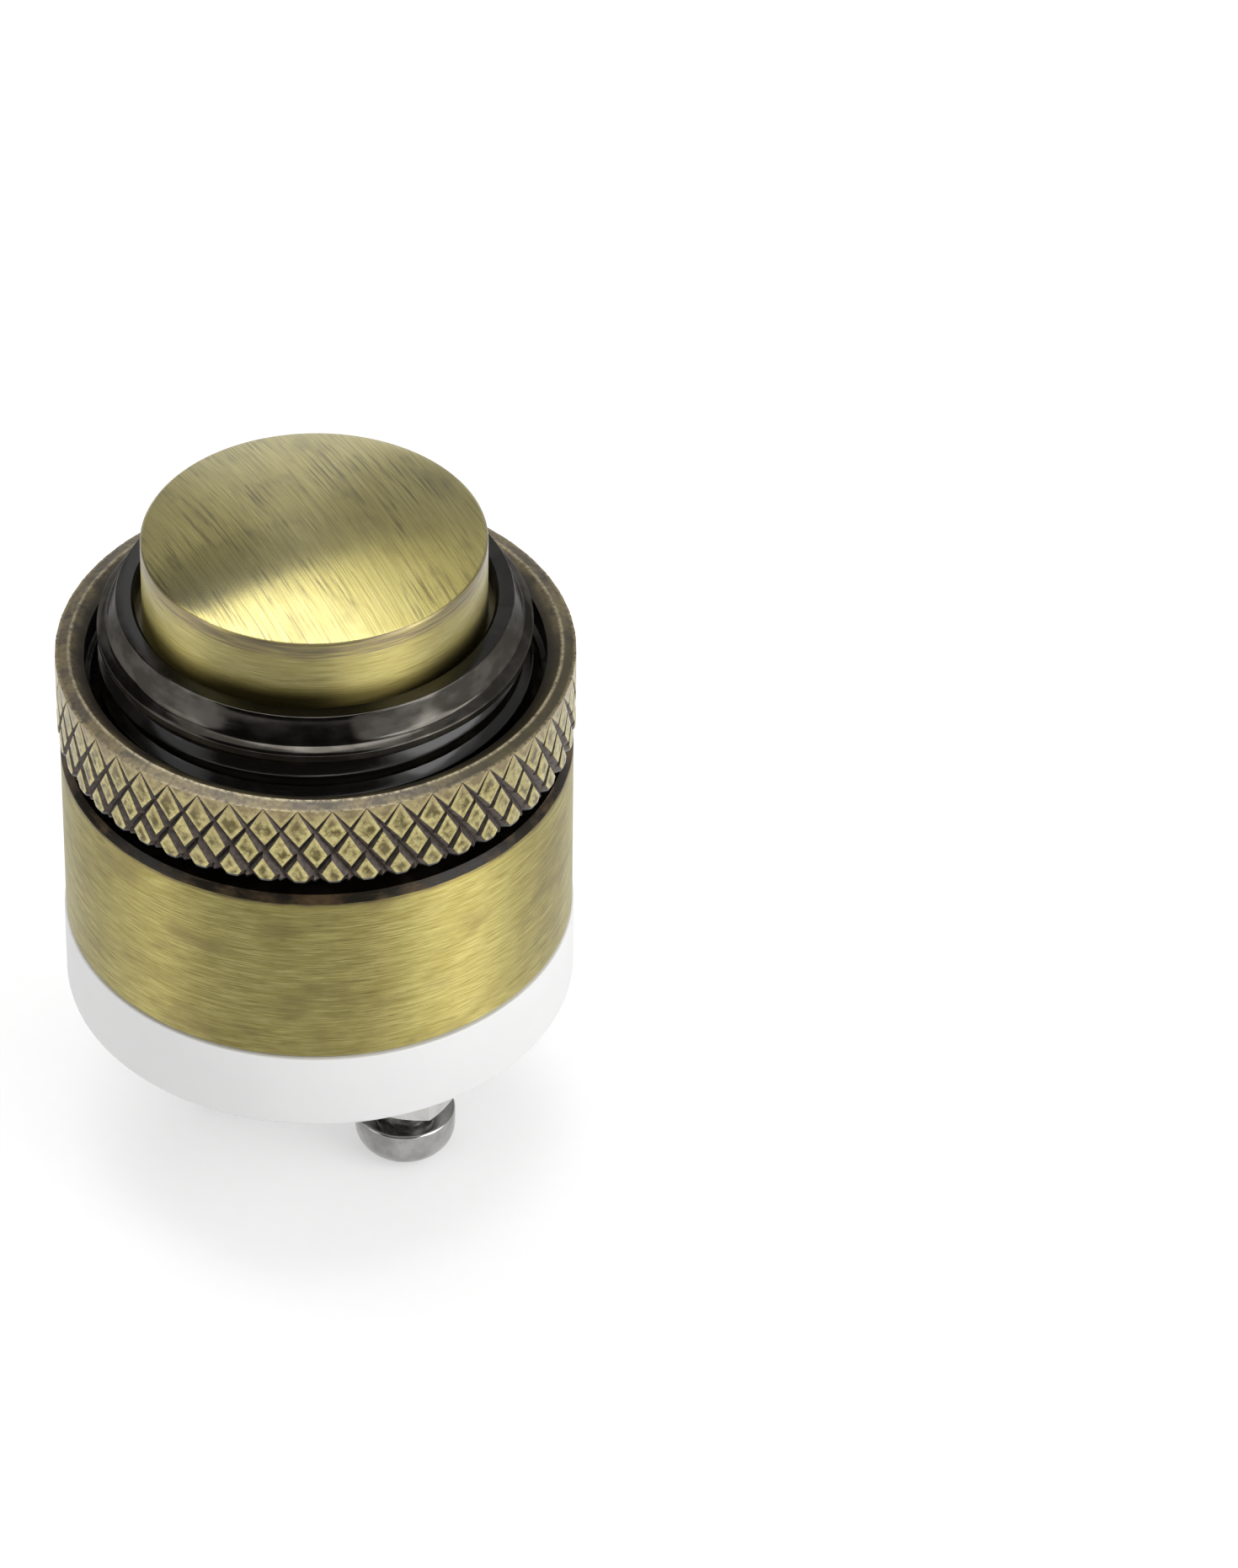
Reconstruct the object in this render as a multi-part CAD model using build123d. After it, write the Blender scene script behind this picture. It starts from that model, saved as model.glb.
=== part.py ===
from build123d import *
from math import cos, pi, radians, sqrt, tan
import os

# Doorbell push button that clamps through a panel, in millimetres.
# Z = 0 is the sleeve's front shoulder, which the back of the panel rests on.
# +Z points out of the panel to the visitor, and the two terminals lie along X.

# Push button: a turned brass cap, kept in by a flange under the bezel's lip
button_radius = 8.0
button_rim_height = 11.68
dome_height = 0.95
button_edge = 0.1
button_wall = 1.2
button_crown = 1.5
flange_width = 1.0
flange_thickness = 1.2
button_travel = 1.8

# Housing: one turned piece, with a sleeve behind the panel, a neck and a bezel
shoulder_width = 1.9
sleeve_length = 9.7
sleeve_wall = 1.1
sleeve_front_chamfer = 0.33
sleeve_rear_chamfer = 0.22
web_thickness = 1.4
neck_height = 8.4
neck_wall = 1.05
register_step = 0.2
lip_thickness = 1.1
lip_width = 0.85
lip_chamfer = 0.15
cove_height = 1.1
cove_sagitta = 0.18
bead_height = 0.45
bead_side = 0.3
bead_depth = 0.35
relief_width = 0.3
thread_chamfer = 0.2

# Ring nut: knurled outside, threaded inside, with a ridge round its front end
ring_gap = 0.9
ring_height = 4.5
ring_overhang = 0.1
ring_bevel_width = 0.67
ring_bevel_drop = 0.18
ring_countersink_drop = 0.35
ring_recess_width = 0.62
ring_recess_depth = 1.2
ring_rear_chamfer = 0.25

# Diamond knurl: two families of V grooves that cross, deeper towards the panel
knurl_columns = 48
knurl_angle = 32.4
knurl_lean = 1.5
knurl_half_angle = 40.0
knurl_main_depth = 0.27
knurl_cross_depth = 0.22
knurl_rows_above_middle = 2
knurl_overshoot = 0.6

# Base: a white moulding with a spigot inside the sleeve and pockets for the posts
base_step = 0.1
base_thickness = 4.07
base_chamfer = 0.4
spigot_length = 6.7
spigot_chamfer = 0.5
pocket_depth = 1.0
partition_height = 3.7
partition_depth = 5.8
partition_chamfer = 0.15
well_depth = 3.0

# Terminal posts: square bar with a turned end, a wire hole and a tapped hole
post_size = 5.15
post_offset = 4.45
post_reach = 6.3
post_face_radius = 2.45
post_cone_angle = 30.0
wire_hole_radius = 1.65
wire_hole_offset = 2.5

# Terminal screws: pan head with slot and cross, dog point
screw_radius = 1.5
screw_length = 6.25
dog_radius = 1.07
dog_length = 1.1
screw_head_radius = 2.42
screw_head_height = 2.33
screw_head_crown_radius = 1.65
screw_head_foot = 1.1
slot_width = 0.75
slot_depth = 0.85
cross_width = 0.85
cross_length = 2.9
cross_depth = 1.35
tip_gap = 0.1

# Fixing screws: from inside, through contact and base into each post
fixing_radius = 1.25
fixing_head_radius = 2.0
fixing_head_height = 1.0
fixing_slot_width = 0.5
fixing_slot_depth = 0.45
fixing_tip_gap = 0.25

# Contacts: two bent strips on the base and a bridge that the plunger carries
contact_thickness = 0.5
contact_width = 4.0
contact_rise = 1.7
contact_foot = 2.1
contact_reach_gap = 0.65
riser_gap = 0.15

# Plunger: a moulding that keeps the brass button away from the live bridge
plunger_disc = 3.0
plunger_stem_radius = 3.2
boss_radius = 1.45
boss_length = 2.25

# Return spring
spring_wire_radius = 0.22
spring_radius = 1.9
spring_turns = 3.5
spring_wire_sides = 4

# Clearances, radial unless named otherwise
guide_clearance = 0.05
lip_clearance = 0.35
thread_clearance = 0.03
spigot_clearance = 0.03
pocket_clearance = 0.15
plunger_clearance = 0.05
bridge_clearance = 0.05
fixing_hole_clearance = 0.15
well_clearance = 0.18
ring_seat_clearance = 0.05
flange_seat_clearance = 0.02
contact_clearance = 0.05
spring_seat_clearance = 0.02

# Sizes that follow from the ones above
lip_bore_radius = button_radius + lip_clearance
flange_radius = button_radius + flange_width
neck_bore_radius = flange_radius + guide_clearance
thread_radius = neck_bore_radius + neck_wall
sleeve_radius = thread_radius + shoulder_width
sleeve_bore_radius = sleeve_radius - sleeve_wall
lip_underside = neck_height - lip_thickness
button_ceiling = button_rim_height - button_crown
button_bore_radius = button_radius - button_wall
flange_top = lip_underside - flange_seat_clearance
ring_bore_radius = thread_radius + thread_clearance
ring_radius = sleeve_radius + ring_overhang
ring_top = ring_gap + ring_height
base_radius = sleeve_radius - base_step
base_rear = -sleeve_length - base_thickness
spigot_top = -sleeve_length + spigot_length
pocket_floor = base_rear + pocket_depth
pocket_size = post_size + 2 * pocket_clearance
post_end = base_rear - post_reach
wire_hole_height = base_rear - wire_hole_offset
wire_hole_floor = wire_hole_height + wire_hole_radius
fixing_seat = spigot_top + contact_thickness
fixing_hole_floor = wire_hole_floor + fixing_tip_gap
screw_tip = wire_hole_height + sqrt(wire_hole_radius**2 - dog_radius**2) - tip_gap
screw_seat = screw_tip - screw_length
screw_end = screw_seat - screw_head_height
contact_reach = neck_bore_radius - contact_reach_gap
contact_top = spigot_top + contact_rise
bridge_underside = contact_top + button_travel + contact_clearance
bridge_top = bridge_underside + contact_thickness
well_floor = spigot_top - well_depth
well_radius = spring_radius + spring_wire_radius + well_clearance


def turned(outline):
    """Solid of revolution about Z from a closed outline of radius and height."""
    return revolve(Plane.XZ * make_face(outline), Axis.Z)


def turned_through(*points):
    """Solid of revolution through corner points of radius and height."""
    return turned(Polyline(*points, close=True))


def rod(radius, low, high):
    """Round bar on the Z axis between two heights."""
    return Pos(0, 0, (low + high) / 2) * Cylinder(radius, high - low)


def bar(width, depth, low, high):
    """Rectangular bar on the Z axis between two heights."""
    return Pos(0, 0, (low + high) / 2) * Box(width, depth, high - low)


def housing():
    """Sleeve, neck and bezel, turned from one bar with one bore through it."""
    cove_top = (lip_bore_radius + lip_width, neck_height)
    bead_foot_radius = thread_radius - bead_depth
    bead_top = (bead_foot_radius, neck_height - cove_height)
    bead_bottom = (thread_radius, neck_height - cove_height - bead_height)
    relief_top = bead_bottom[1] - bead_side
    thread_start = relief_top - relief_width
    register_radius = thread_radius + register_step
    body = Polyline(
        bead_bottom,
        (thread_radius, relief_top),
        (bead_foot_radius, relief_top),
        (bead_foot_radius, thread_start),
        (thread_radius, thread_start - thread_chamfer),
        (thread_radius, ring_gap - ring_seat_clearance),
        (register_radius, ring_gap - ring_seat_clearance),
        (register_radius, 0),
        (sleeve_radius - sleeve_front_chamfer, 0),
        (sleeve_radius, -sleeve_front_chamfer),
        (sleeve_radius, -sleeve_length + sleeve_rear_chamfer),
        (sleeve_radius - sleeve_rear_chamfer, -sleeve_length),
        (sleeve_bore_radius, -sleeve_length),
        (sleeve_bore_radius, -web_thickness),
        (neck_bore_radius, -web_thickness),
        (neck_bore_radius, lip_underside),
        (lip_bore_radius, lip_underside),
        (lip_bore_radius, neck_height - lip_chamfer),
        (lip_bore_radius + lip_chamfer, neck_height),
        cove_top,
    )
    cove = SagittaArc(cove_top, bead_top, cove_sagitta)
    bead = TangentArc(bead_bottom, bead_top, tangent=(0, 1))
    return turned(body + cove + bead)


def knurl_grooves(depth, angle):
    """One family of straight V grooves round the ring, tilted from its axis."""
    column_pitch = 2 * pi * ring_radius / knurl_columns
    row_pitch = column_pitch / 2 / tan(radians(knurl_angle))
    knurl_top = ring_top - ring_bevel_drop
    middle = knurl_top - knurl_rows_above_middle * row_pitch
    length = 2 * (ring_height + knurl_overshoot) / cos(radians(knurl_angle))
    mouth = knurl_overshoot
    half_width = (depth + mouth) * tan(radians(knurl_half_angle))
    section = make_face(Polyline((-depth, 0), (mouth, half_width), (mouth, -half_width), close=True))
    groove = extrude(section, amount=length / 2, both=True)
    placed = Pos(ring_radius, 0, middle) * Rot(Y=knurl_lean) * Rot(X=angle) * groove
    return [Rot(Z=360 * column / knurl_columns) * placed for column in range(knurl_columns)]


def ring_nut():
    """Knurled ring that clamps the panel against the sleeve's shoulder."""
    def outside(radius, height):
        # A polygon with a crease at every crossing, so each diamond is flat
        return Pos(0, 0, height) * RegularPolygon(radius, knurl_columns)

    ridge_radius = ring_radius - ring_bevel_width
    recess_radius = ring_bore_radius + ring_recess_width
    recess_mouth = ring_top - ring_countersink_drop
    rear_chamfer_top = ring_gap + ring_rear_chamfer
    bevel_foot = ring_top - ring_bevel_drop
    sections = [
        outside(ring_radius - ring_rear_chamfer, ring_gap),
        outside(ring_radius, rear_chamfer_top),
        outside(ring_radius, bevel_foot),
        outside(ridge_radius, ring_top),
    ]
    blank = loft(sections, ruled=True)
    bore = turned_through(
        (0, ring_gap),
        (ring_bore_radius, ring_gap),
        (ring_bore_radius, recess_mouth - ring_recess_depth),
        (recess_radius, recess_mouth - ring_recess_depth),
        (recess_radius, recess_mouth),
        (ridge_radius, ring_top),
        (0, ring_top),
    )
    main_family = knurl_grooves(knurl_main_depth, knurl_angle)
    cross_family = knurl_grooves(knurl_cross_depth, -knurl_angle)
    return blank - bore - main_family - cross_family


def push_button():
    """Hollow cap with a domed top and a flange round its open end."""
    flange_bottom = flange_top - flange_thickness
    apex = (0, button_rim_height + dome_height)
    dome_rim = (button_radius - button_edge, button_rim_height)
    dome = TangentArc(apex, dome_rim, tangent=(1, 0))
    body = Polyline(
        dome_rim,
        (button_radius, button_rim_height - button_edge),
        (button_radius, flange_top),
        (flange_radius, flange_top),
        (flange_radius, flange_bottom),
        (button_bore_radius, flange_bottom),
        (button_bore_radius, button_ceiling),
        (0, button_ceiling),
        apex,
    )
    return turned(dome + body)


def plunger():
    """Insulating moulding between the button and the bridge."""
    disc_radius = button_bore_radius - plunger_clearance
    disc_bottom = button_ceiling - plunger_disc
    return turned_through(
        (0, bridge_top - boss_length),
        (boss_radius, bridge_top - boss_length),
        (boss_radius, bridge_top),
        (plunger_stem_radius, bridge_top),
        (plunger_stem_radius, disc_bottom),
        (disc_radius, disc_bottom),
        (disc_radius, button_ceiling),
        (0, button_ceiling),
    )


def contact_bridge():
    """Flat strip with round ends that joins the two fixed contacts."""
    outline = Rectangle(2 * contact_reach, contact_width) & Circle(contact_reach)
    strip = extrude(outline - Circle(boss_radius + bridge_clearance), amount=contact_thickness)
    return Pos(0, 0, bridge_underside) * strip


def return_spring():
    """Compression spring between the base's well and the bridge, of square wire."""
    low = well_floor + spring_wire_radius + spring_seat_clearance
    high = bridge_underside - spring_wire_radius - spring_seat_clearance
    coil = Pos(0, 0, low) * Helix((high - low) / spring_turns, high - low, spring_radius)
    section = RegularPolygon(spring_wire_radius, spring_wire_sides)
    wire = Plane(origin=coil @ 0, z_dir=coil % 0) * section
    return sweep(wire, path=coil, is_frenet=True)


def base():
    """White moulding that closes the sleeve and holds both terminals apart."""
    spigot_radius = sleeve_bore_radius - spigot_clearance
    body = turned_through(
        (0, base_rear),
        (base_radius - base_chamfer, base_rear),
        (base_radius, base_rear + base_chamfer),
        (base_radius, -sleeve_length),
        (spigot_radius, -sleeve_length),
        (spigot_radius, spigot_top - spigot_chamfer),
        (spigot_radius - spigot_chamfer, spigot_top),
        (0, spigot_top),
    )
    partition_width = 2 * post_offset - pocket_size
    partition = bar(partition_width, partition_depth, base_rear - partition_height, base_rear)
    partition = chamfer(partition.faces().sort_by(Axis.Z)[0].edges(), partition_chamfer)
    pocket = bar(pocket_size, pocket_size, base_rear, pocket_floor)
    fixing_hole = rod(fixing_radius + fixing_hole_clearance, pocket_floor, spigot_top)
    body = body + partition - rod(well_radius, well_floor, spigot_top)
    for side in (-1, 1):
        body = body - Pos(side * post_offset, 0, 0) * (pocket + fixing_hole)
    return body


def terminal_post():
    """Square post with a coned end, cross hole for the wire and tapped ends."""
    corner_radius = post_size
    cone_run = corner_radius - post_face_radius
    turned_end = turned_through(
        (0, post_end),
        (post_face_radius, post_end),
        (corner_radius, post_end + cone_run * tan(radians(post_cone_angle))),
        (corner_radius, pocket_floor),
        (0, pocket_floor),
    )
    wire_hole = Pos(0, 0, wire_hole_height) * Rot(X=90) * Cylinder(wire_hole_radius, 2 * post_size)
    screw_hole = rod(screw_radius + thread_clearance, post_end, wire_hole_height)
    fixing_hole = rod(fixing_radius + thread_clearance, fixing_hole_floor, pocket_floor)
    body = bar(post_size, post_size, post_end, pocket_floor) & turned_end
    return body - wire_hole - screw_hole - fixing_hole


def terminal_screw():
    """Clamping screw with a pan head, a combined recess and a dog point."""
    body = turned_through(
        (0, screw_end),
        (screw_head_crown_radius, screw_end),
        (screw_head_radius, screw_seat - screw_head_foot),
        (screw_head_radius, screw_seat),
        (screw_radius, screw_seat),
        (screw_radius, screw_tip - dog_length - (screw_radius - dog_radius)),
        (dog_radius, screw_tip - dog_length),
        (dog_radius, screw_tip),
        (0, screw_tip),
    )
    slot = bar(2 * screw_head_radius, slot_width, screw_end, screw_end + slot_depth)
    cross = bar(cross_width, cross_length, screw_end, screw_end + cross_depth)
    cross = cross + bar(cross_length, cross_width, screw_end, screw_end + cross_depth)
    return body - slot - cross


def fixing_screw():
    """Slotted cheese-head screw that holds a contact and a post to the base."""
    head_top = fixing_seat + fixing_head_height
    body = rod(fixing_radius, fixing_hole_floor + fixing_tip_gap, fixing_seat)
    head = rod(fixing_head_radius, fixing_seat, head_top)
    slot = bar(2 * fixing_head_radius, fixing_slot_width, head_top - fixing_slot_depth, head_top)
    return body + head - slot


def fixed_contact():
    """Strip bent up to a raised pad, under the head of its fixing screw."""
    riser = fixing_head_radius + riser_gap
    pad_underside = contact_top - contact_thickness
    reach = contact_reach - post_offset
    outline = Polyline(
        (-contact_foot, spigot_top),
        (riser + contact_thickness, spigot_top),
        (riser + contact_thickness, pad_underside),
        (reach, pad_underside),
        (reach, contact_top),
        (riser, contact_top),
        (riser, fixing_seat),
        (-contact_foot, fixing_seat),
        close=True,
    )
    strip = extrude(Plane.XZ * make_face(outline), amount=contact_width / 2, both=True)
    round_end = Pos(-post_offset, 0, 0) * rod(contact_reach, spigot_top, contact_top)
    fixing_hole = rod(fixing_radius + fixing_hole_clearance, spigot_top, fixing_seat)
    return (strip & round_end) - fixing_hole


nodes = {
    "housing": housing(),
    "ring_nut": ring_nut(),
    "push_button": push_button(),
    "plunger": plunger(),
    "contact_bridge": contact_bridge(),
    "return_spring": return_spring(),
    "base": base(),
}
for side_name, turn in (("right", 0), ("left", 180)):
    place = Rot(Z=turn) * Pos(post_offset, 0, 0)
    nodes[f"fixed_contact_{side_name}"] = place * fixed_contact()
    nodes[f"fixing_screw_{side_name}"] = place * fixing_screw()
    nodes[f"terminal_post_{side_name}"] = place * terminal_post()
    nodes[f"terminal_screw_{side_name}"] = place * terminal_screw()

os.makedirs("parts", exist_ok=True)
for name, solid in nodes.items():
    export_step(solid, f"parts/{name}.step")
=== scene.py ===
from math import atan2, cos, hypot, pi, radians, sin, sqrt, tan

import bmesh
import bpy
from mathutils import Matrix, Vector


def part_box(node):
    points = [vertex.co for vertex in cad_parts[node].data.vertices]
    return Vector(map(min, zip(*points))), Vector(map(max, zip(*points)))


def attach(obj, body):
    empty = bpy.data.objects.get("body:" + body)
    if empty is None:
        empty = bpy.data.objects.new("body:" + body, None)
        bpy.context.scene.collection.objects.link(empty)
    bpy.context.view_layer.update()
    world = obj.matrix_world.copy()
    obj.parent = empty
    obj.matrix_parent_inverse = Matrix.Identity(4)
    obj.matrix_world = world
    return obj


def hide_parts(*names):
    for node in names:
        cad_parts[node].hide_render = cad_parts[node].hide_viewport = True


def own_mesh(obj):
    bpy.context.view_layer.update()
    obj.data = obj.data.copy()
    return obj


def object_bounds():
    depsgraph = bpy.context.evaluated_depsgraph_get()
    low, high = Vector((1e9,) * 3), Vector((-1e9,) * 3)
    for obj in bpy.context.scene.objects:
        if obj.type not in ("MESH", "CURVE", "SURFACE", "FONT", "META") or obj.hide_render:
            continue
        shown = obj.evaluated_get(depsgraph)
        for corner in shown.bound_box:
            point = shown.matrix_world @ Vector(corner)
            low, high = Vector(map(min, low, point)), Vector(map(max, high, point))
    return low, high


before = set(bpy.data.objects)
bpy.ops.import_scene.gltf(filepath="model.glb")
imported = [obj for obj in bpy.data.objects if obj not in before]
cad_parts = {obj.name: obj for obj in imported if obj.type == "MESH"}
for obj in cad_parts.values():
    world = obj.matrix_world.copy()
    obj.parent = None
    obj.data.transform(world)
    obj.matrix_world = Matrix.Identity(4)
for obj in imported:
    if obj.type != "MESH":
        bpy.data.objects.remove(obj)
cad_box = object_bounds()


# Housing: sleeve, neck and bezel turned from one brass bar. The whole piece is blackened, then the
# sleeve's wall is brushed back to brass, so bezel, neck and chamfers keep a dark polished patina.
# The neck carries a fine thread for the ring nut, and the panel rests on the sleeve's shoulder.
MM = 0.001
WELD = 0.0005 * MM
SHARP = radians(32)
TURNED_STEPS = 192
CORNER_SEGMENTS = 4


def arc(start, end, sagitta, steps):
    """Points between two points of an outline, on an arc that bulges to the left of the way there."""
    a, b = Vector(start), Vector(end)
    half = (b - a).length / 2
    radius = (half**2 + sagitta**2) / (2 * sagitta)
    left = Vector((a.y - b.y, b.x - a.x)).normalized()
    centre = (a + b) / 2 + left * (sagitta - radius)
    turn = (a - centre).angle_signed(b - centre) / steps
    return [tuple(centre + Matrix.Rotation(-turn * i, 2) @ (a - centre)) for i in range(1, steps)]


def spun(bm, outline, rounding, steps=TURNED_STEPS, closed=True):
    """Turns an outline of radius and height, in millimetres, once round the axis."""
    verts = [bm.verts.new((r * MM, 0, z * MM)) for r, z in outline]
    edges = [bm.edges.new(pair) for pair in zip(verts, verts[1:])]
    if closed:
        edges.append(bm.edges.new((verts[-1], verts[0])))
    for corner, size in rounding.items():
        vert = verts[outline.index(corner)]
        bmesh.ops.bevel(bm, geom=[vert], offset=size * MM, offset_type="OFFSET", affect="VERTICES",
                        segments=CORNER_SEGMENTS, profile=0.5, material=-1)
    wire = [e for e in bm.edges if e.is_wire]
    points = list({v for e in wire for v in e.verts})
    bmesh.ops.spin(bm, geom=points + wire, cent=(0, 0, 0), axis=(0, 0, 1), angle=2 * pi, steps=steps,
                   use_merge=True)
    bmesh.ops.remove_doubles(bm, verts=bm.verts, dist=WELD)
    bmesh.ops.recalc_face_normals(bm, faces=bm.faces)


def thread_ridge(bm, foot, crest, low, high, pitch, steps_per_turn=72):
    """One helical ridge between two heights, with its foot sunk in the wall that carries it."""
    foot_half = pitch * 0.42
    crest_half = pitch * 0.03
    easing = pitch * 0.07
    edge_half = crest_half + easing * 0.6
    turns = (high - low) / pitch
    outline = [
        (foot, low - foot_half),
        (crest - easing, low - edge_half),
        (crest, low - crest_half),
        (crest, low + crest_half),
        (crest - easing, low + edge_half),
        (foot, low + foot_half),
    ]
    verts = [bm.verts.new((r * MM, 0, z * MM)) for r, z in outline]
    edges = [bm.edges.new(pair) for pair in zip(verts, verts[1:] + verts[:1])]
    steps = int(turns * steps_per_turn)
    before = set(bm.faces)
    bmesh.ops.spin(bm, geom=verts + edges, cent=(0, 0, 0), axis=(0, 0, 1), angle=2 * pi * turns,
                   steps=steps, dvec=(0, 0, (high - low) * MM / steps))
    ridge = [f for f in bm.faces if f not in before]
    ends = [e for e in {e for f in ridge for e in f.edges} if e.is_boundary]
    bmesh.ops.holes_fill(bm, edges=ends, sides=len(outline))
    ridge = [f for f in bm.faces if f not in before]
    bmesh.ops.recalc_face_normals(bm, faces=ridge)
    # The ridge runs out over the first and last quarter turn
    fade = pitch / 4
    for vert in {v for f in ridge for v in f.verts}:
        angle = atan2(vert.co.y, vert.co.x) / (2 * pi)
        middle = round((vert.co.z / MM - low) / pitch - angle) + angle
        rise = min(middle, turns - middle) * pitch / fade
        if rise < 1:
            radius = hypot(vert.co.x, vert.co.y)
            wanted = foot * MM + (radius - foot * MM) * max(rise, 0)
            vert.co.x *= wanted / radius
            vert.co.y *= wanted / radius


def finished(bm, name, materials, body, slot, *nodes):
    """Makes the mesh an object that rides on its body and stands for its nodes."""
    mesh = bpy.data.meshes.new(name)
    for face in bm.faces:
        face.smooth = True
    bm.to_mesh(mesh)
    bm.free()
    mesh.set_sharp_from_angle(angle=SHARP)
    for item in materials:
        mesh.materials.append(item)
    piece = bpy.data.objects.new(name, mesh)
    bpy.context.collection.objects.link(piece)
    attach(piece, body)
    if nodes:
        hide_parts(*nodes)
    return piece


def brush_map(bm, faces, strokes):
    """UV map whose first axis runs across the brush strokes, where the gloss stretches."""
    layer = bm.loops.layers.uv.get("across_strokes") or bm.loops.layers.uv.new("across_strokes")
    for face in faces:
        along = strokes(face)
        across = face.normal.cross(along)
        for loop in face.loops:
            loop[layer].uv = (loop.vert.co.dot(across) / MM, loop.vert.co.dot(along) / MM)


def round_the_axis(face):
    """Direction of strokes that go round a turned wall."""
    middle = face.calc_center_median()
    return Vector((-middle.y, middle.x, 0)).normalized()


def metal(name, metallic, roughness, specular=0.5, anisotropic=0.0, lacquer=0.0):
    """New material with a principled shader and its constant values."""
    lacquer_roughness = 0.22
    item = bpy.data.materials.new(name)
    item.use_nodes = True
    shader = item.node_tree.nodes["Principled BSDF"]
    shader.inputs["Metallic"].default_value = metallic
    shader.inputs["Roughness"].default_value = roughness
    shader.inputs["Specular IOR Level"].default_value = specular
    shader.inputs["Coat Weight"].default_value = lacquer
    shader.inputs["Coat Roughness"].default_value = lacquer_roughness
    if anisotropic:
        shader.inputs["Anisotropic"].default_value = anisotropic
        tangent = item.node_tree.nodes.new("ShaderNodeTangent")
        tangent.direction_type = "UV_MAP"
        tangent.uv_map = "across_strokes"
        item.node_tree.links.new(tangent.outputs["Tangent"], shader.inputs["Tangent"])
    return item, item.node_tree, shader


def grain(tree, size, detail=4.0, turn=0.0, roughness=0.55):
    """Noise on object coordinates, whose grains have the given size in millimetres along X, Y and Z."""
    place = tree.nodes.new("ShaderNodeTexCoord")
    mapping = tree.nodes.new("ShaderNodeMapping")
    noise = tree.nodes.new("ShaderNodeTexNoise")
    mapping.vector_type = "TEXTURE"
    mapping.inputs["Rotation"].default_value = (0, 0, turn)
    mapping.inputs["Scale"].default_value = [s * MM for s in size]
    noise.inputs["Scale"].default_value = 1.0
    noise.inputs["Detail"].default_value = detail
    noise.inputs["Roughness"].default_value = roughness
    tree.links.new(place.outputs["Object"], mapping.inputs["Vector"])
    tree.links.new(mapping.outputs["Vector"], noise.inputs["Vector"])
    return noise.outputs["Fac"]


def spread(tree, value, low, high, to_low=0.0, to_high=1.0):
    """Maps a range of values smoothly onto another and holds it beyond."""
    node = tree.nodes.new("ShaderNodeMapRange")
    node.interpolation_type = "SMOOTHSTEP"
    node.inputs["From Min"].default_value = low
    node.inputs["From Max"].default_value = high
    node.inputs["To Min"].default_value = to_low
    node.inputs["To Max"].default_value = to_high
    tree.links.new(value, node.inputs["Value"])
    return node.outputs["Result"]


def tinted(tree, factor, first, second):
    """Mixes two colours, or two colour sockets, by a factor."""
    node = tree.nodes.new("ShaderNodeMix")
    node.data_type = "RGBA"
    tree.links.new(factor, node.inputs["Factor"])
    for socket, colour in ((node.inputs[6], first), (node.inputs[7], second)):
        if isinstance(colour, tuple):
            socket.default_value = (*colour, 1)
        else:
            tree.links.new(colour, socket)
    return node.outputs[2]


def worked(tree, operation, *values):
    """One arithmetic step on sockets or numbers."""
    node = tree.nodes.new("ShaderNodeMath")
    node.operation = operation
    for socket, value in zip(node.inputs, values):
        if isinstance(value, (int, float)):
            socket.default_value = value
        else:
            tree.links.new(value, socket)
    return node.outputs[0]


def placed(tree, axis):
    """Place in millimetres along X, Y or Z, or the distance from the axis for R."""
    place = tree.nodes.new("ShaderNodeTexCoord")
    split = tree.nodes.new("ShaderNodeSeparateXYZ")
    tree.links.new(place.outputs["Object"], split.inputs[0])
    if axis != "R":
        return worked(tree, "DIVIDE", split.outputs[axis], MM)
    squares = [worked(tree, "POWER", split.outputs[name], 2.0) for name in "XY"]
    return worked(tree, "DIVIDE", worked(tree, "SQRT", worked(tree, "ADD", *squares)), MM)


def surfaced(tree, shader, colour, rough):
    """Gives the surface its colour and its roughness."""
    tree.links.new(colour, shader.inputs["Base Color"])
    tree.links.new(rough, shader.inputs["Roughness"])


def bumped(tree, shader, height, depth, strength):
    """Relief from a height, with its full depth in millimetres."""
    node = tree.nodes.new("ShaderNodeBump")
    node.inputs["Strength"].default_value = strength
    node.inputs["Distance"].default_value = depth * MM
    tree.links.new(height, node.inputs["Height"])
    tree.links.new(node.outputs["Normal"], shader.inputs["Normal"])


def hairlines(tree, length, width, turn, straight):
    """Brush strokes of uneven length: a fine even grain, and a few deeper scratches."""
    scratch_scale = 1.7
    sizes = (length, width, length) if straight else (length, length, width)
    fine = grain(tree, sizes, detail=3, turn=turn, roughness=0.6)
    scratch = grain(tree, [s * scratch_scale for s in sizes], detail=2, turn=turn, roughness=0.5)
    return fine, scratch


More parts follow.
